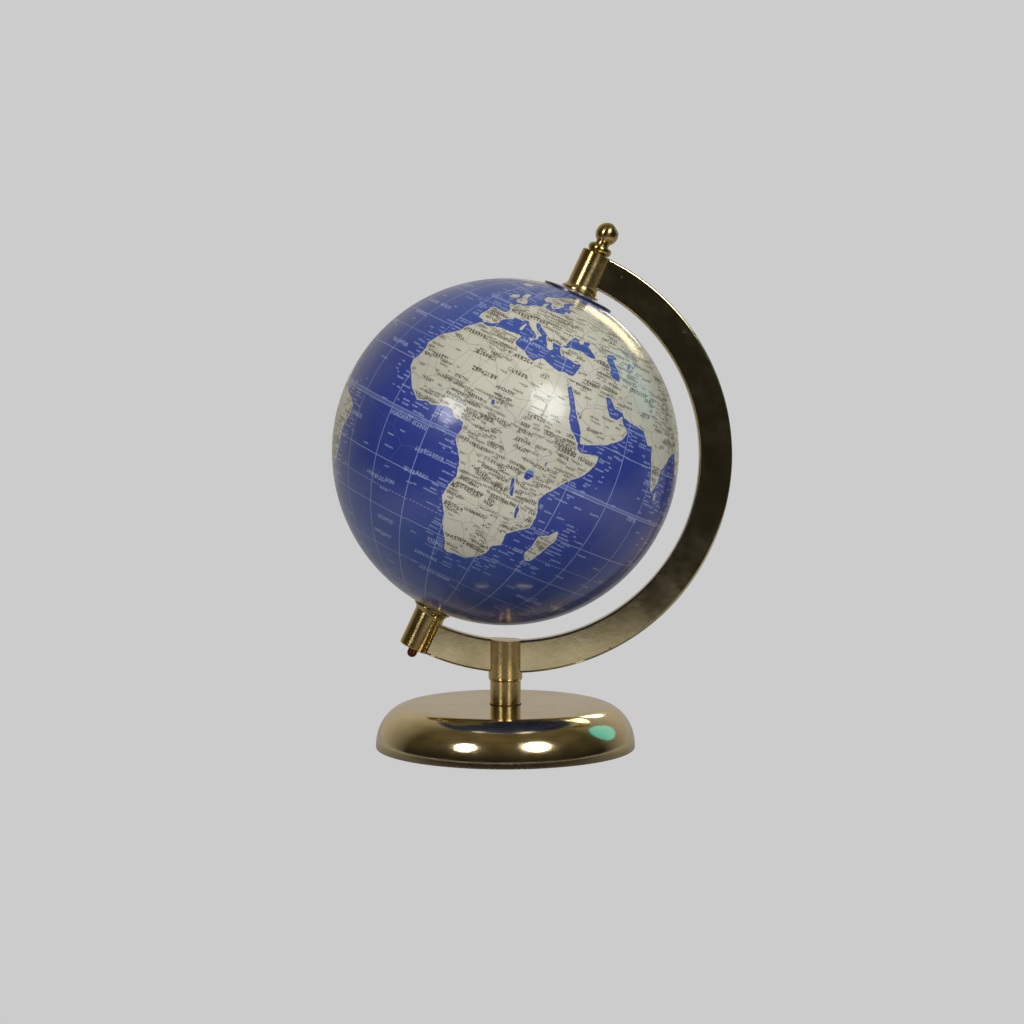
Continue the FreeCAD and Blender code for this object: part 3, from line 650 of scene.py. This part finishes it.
# %% The printed paper
RAGGED = 0.85  # mm
COAST_EDGE = (-0.03, 0.06)  # mm, over which water turns to land
RIM = (0.03, 0.2)  # mm to each side of the coast
SEA_INKS = {"net": linear(150, 164, 206), "lane": linear(140, 152, 208), "type": linear(160, 172, 210)}
LAND_INKS = {"net": linear(120, 120, 104), "border": linear(112, 106, 92),
             "river": linear(120, 122, 128), "type": linear(66, 59, 45)}
NET_AT_SEA, NET_ON_LAND = 0.7, 0.28  # how strong the inks are
TYPE_AT_SEA, TYPE_ON_LAND = 0.8, 0.88
RIM_INK, STAIN = linear(96, 98, 112), linear(108, 100, 84)


def map_paper():
    m = Mix("printed_paper")
    printed = m.add("ShaderNodeAttribute", attribute_name="printed").outputs["Vector"]
    chart = m.add("ShaderNodeAttribute", attribute_name="chart").outputs["Vector"]
    coast = m.add("ShaderNodeAttribute", attribute_name="coast").outputs["Fac"]
    lon, lat, narrow = m.split(printed)
    shake = m.math("SUBTRACT", m.noise(0.9, 3.0, 0.6, at=chart), 0.5)
    land_side = m.math("MULTIPLY_ADD", shake, RAGGED, coast)
    net = net_of_lines(m, lon, lat, narrow)
    bent = bent_chart(m, chart)

    water = m.blend(m.times(net, NET_AT_SEA), sea_ground(m, lat, land_side), SEA_INKS["net"])
    water = m.blend(patch_lines(m, chart, SEA_LANE), water, SEA_INKS["lane"])
    water = m.blend(m.times(sea_names(m, chart, coast), TYPE_AT_SEA), water, SEA_INKS["type"])

    soil = m.blend(m.times(net, NET_ON_LAND), land_ground(m, lat), LAND_INKS["net"])
    soil = m.blend(patch_lines(m, bent, BORDER), soil, LAND_INKS["border"])
    soil = m.blend(patch_lines(m, bent, RIVER), soil, LAND_INKS["river"])
    type_ink = m.times(land_names(m, chart, lat, coast), TYPE_ON_LAND)
    soil = m.blend(type_ink, soil, LAND_INKS["type"])

    colour = m.blend(m.ramp(land_side, *COAST_EDGE), water, soil)
    colour = m.blend(m.ramp(m.math("ABSOLUTE", land_side), *RIM, 0.3, 0.0), colour, RIM_INK)
    colour = m.blend(m.ramp(m.noise(30.0, 5.0, 0.7), 0.5, 0.8, 0.0, 0.12), colour, STAIN)

    m.set(Base_Color=colour, Roughness=m.ramp(m.noise(60.0, 3.0), 0.3, 0.7, 0.34, 0.46))
    m.set(Coat_Weight=0.62, Coat_Roughness=0.13, Coat_IOR=1.5, Specular_IOR_Level=0.3)
    m.bump(m.noise(420.0, 2.0, 0.5), depth=0.00006, strength=0.5)
    m.bump(m.noise(260.0, 2.0, 0.5), depth=0.0001, strength=0.35, socket="Coat Normal")
    return m.material


paper_look = map_paper()
for gore in gores:
    gore.data.materials.append(paper_look)
print("paper nodes", len(paper_look.node_tree.nodes))

# %% [markdown]
# Polished brass is mostly what it mirrors. Its own colour is a warm metal tint, but a plain mirror looks
# false: real brass parts have faint buffing lines, smudges from hands that dull the shine, and a few dark
# pits where the lacquer has gone. Noise makes the lines and smudges, a cell pattern makes the pits, and each
# part gets its own amount.

# %% Brass and the other metals
PIT = linear(60, 44, 28)
PIT_EDGE = (0.1, 0.22)
BUFFING_DEPTH = 0.04 * MM
TONES, SMUDGES, WAVES, PIT_PLACES = 55.0, 120.0, 150.0, 260.0  # how fine each pattern is, to a metre


def metal(name, light, dark, shine, smudge, pits=0.0, lines=(1, 1, 1), wave=0.0, along=None):
    """Polished metal. Lines is how fine the buffing is each way, and along is the way that it runs."""
    m = Mix(name)
    if along:
        m.set(Anisotropic=0.85, Tangent=m.join(*along))
    tone = m.ramp(m.noise(TONES, 4.0, 0.6), 0.35, 0.7)
    spots = m.cells(m.place, spread=1.0, flat=False, scale=PIT_PLACES)
    lucky = m.math("LESS_THAN", m.split(spots["Color"])[0], pits)
    pit = m.times(m.ramp(spots["Distance"], *PIT_EDGE, 1.0, 0.0), lucky)
    m.set(Base_Color=m.blend(pit, m.blend(tone, linear(*light), linear(*dark)), PIT), Metallic=1.0)
    hands = m.ramp(m.noise(SMUDGES, 5.0, 0.65), 0.35, 0.75, shine, shine + smudge)
    m.set(Roughness=m.math("MULTIPLY_ADD", pit, 0.3, hands))
    buffing = m.noise(1.0, 3.0, 0.6, at=m.moved(scale=lines))
    rolling = m.math("MULTIPLY_ADD", m.noise(WAVES, 2.0), wave, buffing)
    m.bump(m.math("SUBTRACT", rolling, m.times(pit, 2.0)), BUFFING_DEPTH, 0.35)
    return m.material


UPRIGHT = metal("brass_upright_look", (216, 192, 136), (190, 162, 104), shine=0.22, smudge=0.1,
                pits=0.03, lines=(300, 300, 1500), wave=0.2, along=(0, 0, 1))
TILTED = metal("brass_tilted_look", (214, 192, 134), (186, 158, 100), shine=0.2, smudge=0.1,
               pits=0.03, lines=(400, 400, 400), wave=0.2, along=AXIS)
ARC_BRASS = metal("brass_arc_look", (222, 208, 168), (212, 196, 152), shine=0.12, smudge=0.07,
                  pits=0.035, lines=(500, 500, 500), wave=0.5)
BASE_BRASS = metal("brass_base_look", (226, 208, 164), (216, 196, 150), shine=0.09, smudge=0.06,
                   pits=0.012, lines=(420, 420, 420), wave=0.4)
EYELET_BRASS = metal("eyelet_look", (214, 190, 128), (190, 164, 100), shine=0.22, smudge=0.12,
                     pits=0.02, lines=(500, 500, 500))
STEEL = metal("steel_look", (190, 190, 192), (160, 160, 164), shine=0.24, smudge=0.12,
              pits=0.02, lines=(400, 400, 2400))
ROD_STEEL = metal("rod_look", (128, 72, 52), (88, 48, 38), shine=0.3, smudge=0.15,
                  pits=0.05, lines=(600, 600, 600))
WEIGHT_IRON = metal("weight_look", (104, 102, 100), (70, 68, 66), shine=0.55, smudge=0.2,
                    pits=0.1, lines=(260, 260, 260), wave=2.0)
print("metals", sum(look.name.endswith("_look") for look in bpy.data.materials))

# %% [markdown]
# The quiet materials are the ones under and behind: felt with its nap, grey board, nylon washers, brass
# eyelets, and the card disc over the north pole, lilac-grey on top with a dark rim.

# %% Felt, board, nylon and the pole disc
RIM_IN, RIM_OUT = 0.9 * MM, 0.5 * MM  # from the disc's edge to where its dark rim starts and is full


def matt(name, light, dark, grain, depth, rough, sheen=0.0):
    """A dull stuff, flecked light and dark; grain is how fine, and depth how deep in metres."""
    m = Mix(name)
    fleck = m.noise(grain, 4.0, 0.65)
    m.set(Base_Color=m.blend(m.ramp(fleck, 0.35, 0.65), linear(*light), linear(*dark)))
    m.set(Roughness=rough, Sheen_Weight=sheen)
    m.bump(fleck, depth, 0.6)
    return m.material


def pole_disc():
    m = Mix("pole_disc_look")
    on_rod = m.moved(place=CENTRE, turn=(0, TILT, 0))
    on_rod.node.vector_type = "TEXTURE"
    x, y, _ = m.split(on_rod)
    edge = along_rod("north_pole_cap")[3]
    rim = m.ramp(m.length(x, y), edge - RIM_IN, edge - RIM_OUT)
    face = m.blend(m.ramp(m.noise(90.0, 3.0), 0.3, 0.7), linear(150, 146, 166), linear(132, 130, 150))
    m.set(Base_Color=m.blend(rim, face, linear(34, 34, 62)))
    m.set(Roughness=0.34, Coat_Weight=0.6, Coat_Roughness=0.12)
    m.bump(m.noise(300.0, 2.0), 0.00005, 0.4)
    return m.material


LOOKS = {
    "brass_turned": TILTED,
    "brass_arc": ARC_BRASS,
    "brass_base": BASE_BRASS,
    "steel_rod": ROD_STEEL,
    "steel_bolt": STEEL,
    "cast_weight": WEIGHT_IRON,
    "felt": matt("felt_look", (38, 46, 40), (22, 28, 26), grain=900.0, depth=0.0003, rough=0.95, sheen=0.4),
    "nylon": matt("nylon_look", (226, 222, 208), (210, 206, 192), grain=160.0, depth=0.00003, rough=0.4),
    "board": matt("board_look", (150, 140, 120), (120, 110, 92), grain=500.0, depth=0.0001, rough=0.85),
    "eyelet": EYELET_BRASS,
    "pole_cap": pole_disc(),
}
dressed = 0
for node in nodes.values():
    for place in node.material_slots:
        finish = place.material.name.split(".")[0] if place.material else None
        if finish in LOOKS:
            place.material = LOOKS[finish]
            dressed += 1
for upright in ("stem_sleeve", "stem_post"):
    nodes[upright].material_slots[0].material = UPRIGHT
print("nodes given a finish", dressed)

# %% [markdown]
# Two small rings. The base's edge is rolled into a thin bead, which catches a pale line all round. Where the
# post stands on the base, a thin dark brown ring is painted shade, standing in for the shadow in the small
# gap there. Each is a small circle spun about the upright line.

# %% A bead and a ring of painted shade
BASE_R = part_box("base_shell")[1][0]
BASE_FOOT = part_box("base_shell")[0][2]
POST_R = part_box("stem_post")[1][0]
POST_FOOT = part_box("stem_post")[0][2]
BEAD = 0.28 * MM
SHADE_THICK = 0.22 * MM
SHADE_UP = 0.12 * MM
FINE = (700, 700, 700)
# the foot ring's dark brown is painted shade, for the shadow in the gap where the post meets the base
FOOT_SHADE = metal("foot_shade_look", (96, 70, 36), (60, 42, 22), shine=0.5, smudge=0.2, lines=FINE)
EDGE_BRASS = metal("edge_look", (236, 214, 178), (224, 200, 160), shine=0.5, smudge=0.1, lines=FINE)


def ring(out, height, thick, steps=160, around=12):
    """A wire of radius `thick`, bent to a ring round the upright line."""
    shape = bmesh.new()
    made = bmesh.ops.create_circle(shape, segments=around, radius=thick)
    upright = Matrix.Rotation(math.pi / 2, 3, "X")
    bmesh.ops.rotate(shape, verts=made["verts"], cent=(0, 0, 0), matrix=upright)
    bmesh.ops.translate(shape, verts=made["verts"], vec=(out, 0, height))
    bmesh.ops.spin(shape, geom=shape.edges[:], cent=(0, 0, 0), axis=(0, 0, 1), angle=math.tau,
                   steps=steps, use_merge=True)
    bmesh.ops.recalc_face_normals(shape, faces=shape.faces)
    return shape


edge_bead = ring(BASE_R - BEAD, BASE_FOOT + BEAD, BEAD)
piece("rolled_edge", edge_bead, "stand", "brass_base", material=EDGE_BRASS)
# a thin dark ring of painted shade round the foot of the post
foot_shade_ring = ring(POST_R, POST_FOOT + SHADE_UP, SHADE_THICK, steps=96)
piece("painted_foot_shade", foot_shade_ring, "stand", "brass_turned", material=FOOT_SHADE)
print("bead radius mm", round(BEAD / MM, 2), "post radius mm", round(POST_R / MM, 2))

# %% [markdown]
# The arc is flat bar with its corners eased, bent to a half circle. Its centre stands a little out from the
# rod, so the bar clears the ball evenly. We ease the corners of one small rectangle with `bevel` and carry
# it round with `spin`; a single sweep gives long clean faces, and so long clean reflections. A Weighted
# Normal modifier then lets the flat faces lead the shading, so that the eased corners don't make them look
# domed.

# %% Bend the arc
ARC_OFFSET = 3.65 * MM  # the arc's centre from the ball's
ARC_EASE = 0.8 * MM
PAST_ROD = math.radians(0.5)  # each end runs this far past a half circle
ARC_STEPS = 224
ARC_CENTRE = CENTRE + SIDE * ARC_OFFSET
from_centre = [(vertex.co - ARC_CENTRE) for vertex in nodes["meridian_arc"].data.vertices]
reach = [math.hypot(way.x, way.z) for way in from_centre]
ARC_IN, ARC_OUT = min(reach), max(reach)
ARC_THICK = 2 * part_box("meridian_arc")[1][1]


def bent_bar():
    bar = bmesh.new()
    bmesh.ops.create_grid(bar, x_segments=1, y_segments=1, size=0.5)
    bmesh.ops.scale(bar, verts=bar.verts, vec=(ARC_OUT - ARC_IN, ARC_THICK, 1))
    bmesh.ops.bevel(bar, geom=bar.verts[:], offset=ARC_EASE, offset_type="OFFSET", affect="VERTICES",
                    segments=6, profile=0.5, material=-1)
    bmesh.ops.delete(bar, geom=bar.faces[:], context="FACES_ONLY")
    bmesh.ops.translate(bar, verts=bar.verts, vec=((ARC_OUT + ARC_IN) / 2, 0, 0))
    start = -math.pi / 2 - PAST_ROD
    upright = Matrix((SIDE, -FRONT, AXIS)).transposed().to_4x4()
    place = Matrix.Translation(ARC_CENTRE) @ Matrix.Rotation(start, 4, FRONT) @ upright
    bmesh.ops.transform(bar, matrix=place, verts=bar.verts)
    bmesh.ops.spin(bar, geom=bar.edges[:], cent=ARC_CENTRE, axis=FRONT, angle=math.pi + 2 * PAST_ROD,
                   steps=ARC_STEPS)
    bmesh.ops.holes_fill(bar, edges=[edge for edge in bar.edges if edge.is_boundary])
    bmesh.ops.recalc_face_normals(bar, faces=bar.faces)
    return bar


ARC_SHARP = 50.0
bent_arc = piece("bent_arc", bent_bar(), "stand", "brass_arc", "meridian_arc", sharp=ARC_SHARP,
                 material=ARC_BRASS)
even = bent_arc.modifiers.new("flat_faces_lead", "WEIGHTED_NORMAL")
even.weight = 100
even.keep_sharp = True
print("arc radii mm", round(ARC_IN / MM, 2), round(ARC_OUT / MM, 2), "faces", len(bent_arc.data.polygons))

# %% [markdown]
# The light is a product studio's. Two soft boxes stand in front, left and right, and give the paired
# highlights on the ball and the brass. A third behind draws a pale line on the upper right, and a green card
# beside it leaves a green patch on the base and a faint one on the ball. Two wide fills light the paper from
# the front but show in no mirror. The room is dark in front, so that the upright faces of the brass go dark,
# and pale behind, so that the flat top of the base mirrors a soft grey.

# %% Soft boxes
WHITE = (1.0, 1.0, 1.0)
GREEN = (0.03, 0.74, 0.95)
# each has a name, a direction from the ball, a distance in m, a width and height in m, its radiance, whether
# mirrors show it, and a colour
BOXES = (
    ("soft_box_left", (-0.555, -0.689, 0.467), 1.5, (0.44, 0.5), 8.0, True, WHITE),
    ("soft_box_right", (0.434, -0.722, 0.536), 1.5, (0.58, 0.64), 8.0, True, WHITE),
    ("soft_box_rear", (0.342, 0.867, 0.363), 0.5, (0.115, 0.1), 2.2, True, WHITE),
    ("green_card", (0.8, 0.36, 0.41), 1.5, (0.74, 0.8), 0.62, True, GREEN),
    ("fill", (0.1, -0.8, 0.5), 1.6, (1.6, 1.6), 1.0, False, WHITE),
    ("low_fill", (0.05, -1.0, 0.0), 1.4, (1.6, 0.2), 2.2, False, WHITE),
)


def soft_box(name, direction, distance, size, radiance, mirrored, colour):
    """An oval lamp that faces the ball, as strong as its radiance and its size make it."""
    width, height = size
    lamp = bpy.data.lights.new(name, "AREA")
    lamp.color = colour
    lamp.shape = "ELLIPSE"
    lamp.size, lamp.size_y = width, height
    lamp.energy = radiance * math.pi * width * height
    box = bpy.data.objects.new(name, lamp)
    towards = Vector(direction).normalized()
    box.location = CENTRE + towards * distance
    box.rotation_euler = towards.to_track_quat("Z", "Y").to_euler()
    box.visible_camera = False
    box.visible_glossy = mirrored
    bpy.context.scene.collection.objects.link(box)


for box in BOXES:
    soft_box(*box)
print("soft boxes", [box[0] for box in BOXES])

# %% [markdown]
# The room and the floor each have two faces. To the camera they are one plain pale grey, as a product
# picture has. To everything else, and so to the brass, they are a studio: `Light Path` tells the two kinds
# of ray apart.

# %% The room
BACKDROP = 0.604
PLAIN = (BACKDROP, BACKDROP, BACKDROP, 1)
DARK_FRONT, PALE_BACK = (0.016, 0.015, 0.012, 1), (0.42, 0.395, 0.36, 1)
NO_LIGHT, WARM_CEILING = (0, 0, 0, 1), (0.12, 0.1, 0.05, 1)
BACK_FROM, BACK_FULL = 0.56, 0.9  # with the front at 0 and the back at 1
CEILING_FROM, CEILING_FULL = 0.03, 0.5
PATCHES = 2.6


def room():
    world = bpy.data.worlds.new("studio")
    bpy.context.scene.world = world
    world.use_nodes = True
    world.node_tree.nodes.clear()
    w = Nodes(world.node_tree, "Generated")
    _, back, up = w.split(w.place)
    behind = w.fade(w.math("MULTIPLY_ADD", back, 0.5, 0.5), BACK_FROM, DARK_FRONT, BACK_FULL, PALE_BACK)
    patchy = w.times(up, w.noise(PATCHES, 3.0))
    ceiling = w.fade(patchy, CEILING_FROM, NO_LIGHT, CEILING_FULL, WARM_CEILING)
    lit = w.add("ShaderNodeBackground", {0: w.blend(1.0, behind, ceiling, kind="ADD")})
    seen = w.add("ShaderNodeBackground", {0: PLAIN})
    rays = w.add("ShaderNodeLightPath").outputs["Is Camera Ray"]
    choose = w.add("ShaderNodeMixShader", {0: rays, 1: lit.outputs[0], 2: seen.outputs[0]})
    w.add("ShaderNodeOutputWorld", {0: choose.outputs[0]})


room()
print("backdrop", BACKDROP)

# %% [markdown]
# The floor's card, as the brass sees it, is dark close to the base, so that the base's side runs dark to its
# foot. It is pale a little further off in front, which brightens the low end of the arc, and fades out
# before it can brighten the rest. Behind the stand it is an even grey.

# %% The floor
FLOOR_R = 0.9
PALE_CARD = (1.0, 0.97, 0.92, 1)
NEAR_EDGE = (0.09, 0.21)  # m from the middle, where the dark ends and where the card is palest
FAR_EDGE = (0.24, 0.44)  # m, where the pale begins to fade and where it has gone
BACK_EDGE = (-0.07, 0.03)  # m, from the front's card to the grey behind
DARKEST, PALEST, FADED, GREY_BEHIND = 0.02, 0.58, 0.02, 0.34


def floor_look():
    m = Mix("floor_look")
    x, y, _ = m.split(m.place)
    out = m.length(x, y)
    near = m.ramp(out, *NEAR_EDGE, DARKEST, PALEST)
    front = m.times(near, m.ramp(out, *FAR_EDGE, 1.0, FADED))
    behind = m.ramp(y, *BACK_EDGE)
    card = m.math("ADD", m.times(front, m.math("SUBTRACT", 1.0, behind)), m.times(behind, GREY_BEHIND))
    plain = m.add("ShaderNodeEmission", {"Color": PLAIN})
    mirrored = m.add("ShaderNodeEmission", {"Color": PALE_CARD, "Strength": card})
    rays = m.add("ShaderNodeLightPath").outputs["Is Camera Ray"]
    choose = m.add("ShaderNodeMixShader", {0: rays, 1: mirrored.outputs[0], 2: plain.outputs[0]})
    m.put(m.tree.nodes["Material Output"].inputs["Surface"], choose.outputs[0])
    return m.material


disc = bmesh.new()
bmesh.ops.create_circle(disc, cap_ends=True, segments=96, radius=FLOOR_R)
floor_mesh = bpy.data.meshes.new("floor")
disc.to_mesh(floor_mesh)
disc.free()
floor_mesh.materials.append(floor_look())
floor = bpy.data.objects.new("floor", floor_mesh)
bpy.context.scene.collection.objects.link(floor)
print("floor radius m", FLOOR_R)

# %% [markdown]
# The camera stands a little above the middle of the ball, square to the front, and looks slightly down. A
# long lens keeps the shape true.

# %% The camera
CAMERA_AWAY = 0.8
CAMERA_ABOVE_BALL = 0.0321
LOOK_DOWN = math.radians(3.872)
LOOK_RIGHT = math.radians(0.173)
LENS = 76.64
lens = bpy.data.cameras.new("camera")
lens.lens = LENS
lens.sensor_width = 36.0
camera = bpy.data.objects.new("camera", lens)
camera.location = CENTRE + CAMERA_AWAY * FRONT + Vector((0, 0, CAMERA_ABOVE_BALL))
camera.rotation_euler = (math.pi / 2 - LOOK_DOWN, 0, -LOOK_RIGHT)
bpy.context.scene.collection.objects.link(camera)
bpy.context.scene.camera = camera
bpy.context.scene.view_settings.view_transform = "Standard"
print("camera at", [round(v, 4) for v in camera.location])
